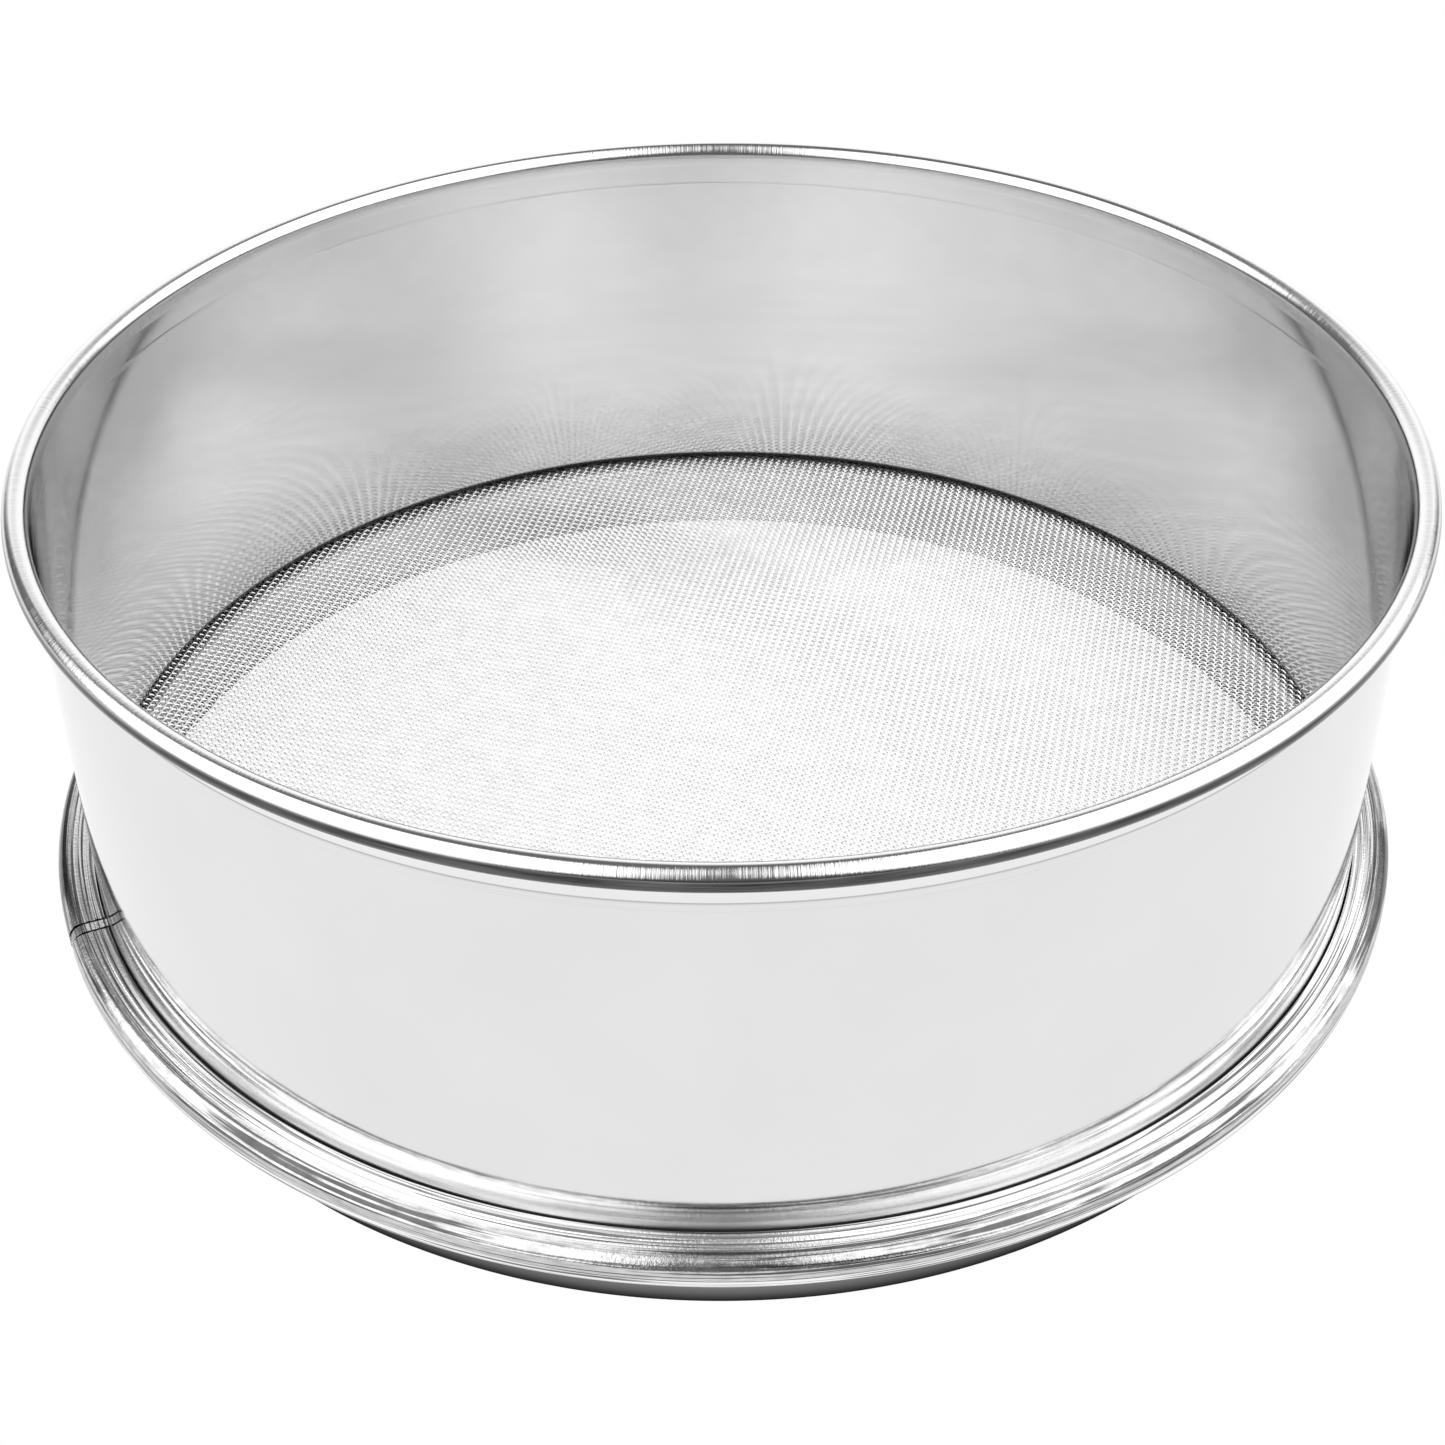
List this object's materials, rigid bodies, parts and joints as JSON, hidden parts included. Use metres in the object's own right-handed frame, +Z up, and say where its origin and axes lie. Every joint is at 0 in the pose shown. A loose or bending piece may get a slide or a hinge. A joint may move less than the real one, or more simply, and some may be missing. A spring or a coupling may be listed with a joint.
{
  "type": "soil sieve",
  "caption": "Round stainless-steel soil sieve: deep shell with wired rim, clamped woven wire screen, crimped hoop and short nesting skirt.",
  "frame": {"origin": "centre of the circle on which the lower ring's hem stands", "axes": "+Z up along the sieve's own axis, +X to the right and -Y towards the front; the hoop's joint is 204 degrees from +X"},
  "size_m": [0.3078, 0.3078, 0.1136],
  "materials": {
    "sheet_steel": "polished stainless sheet with a soft satin sheen",
    "hoop_steel": "bright polished stainless strip with fine burnish lines",
    "screen_wire": "plain woven bright stainless wire",
    "core_wire": "plain drawn wire, hidden in the rim"
  },
  "bodies": {
    "root": {"upper_shell": "sheet_steel", "rim_core_wire": "core_wire", "wire_screen": "screen_wire", "lower_ring": "sheet_steel", "crimp_hoop": "hoop_steel"}
  },
  "joints": []
}
